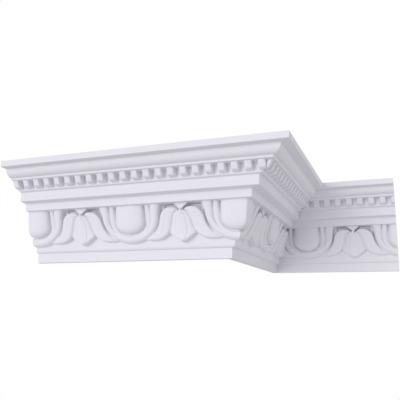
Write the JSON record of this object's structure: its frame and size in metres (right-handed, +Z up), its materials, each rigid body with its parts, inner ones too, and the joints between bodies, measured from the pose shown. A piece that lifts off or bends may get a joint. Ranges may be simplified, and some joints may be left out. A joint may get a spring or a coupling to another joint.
{
  "type": "cornice moulding section",
  "caption": "Carved plaster cornice that breaks forward from the wall, with a bead row and an egg and dart band, in mitred lengths.",
  "frame": {"origin": "on the plane of the underside, below the middle of the whole cornice's box", "axes": "+Z up to the ceiling, +X along the front and rear lengths to the right as seen from the room, -Y out into the room"},
  "size_m": [0.572, 0.4174, 0.15],
  "materials": {
    "painted_plaster": "smooth matt paint on plaster"
  },
  "bodies": {
    "root": {"front_length": "painted_plaster", "return_length": "painted_plaster", "rear_length": "painted_plaster"}
  },
  "joints": []
}
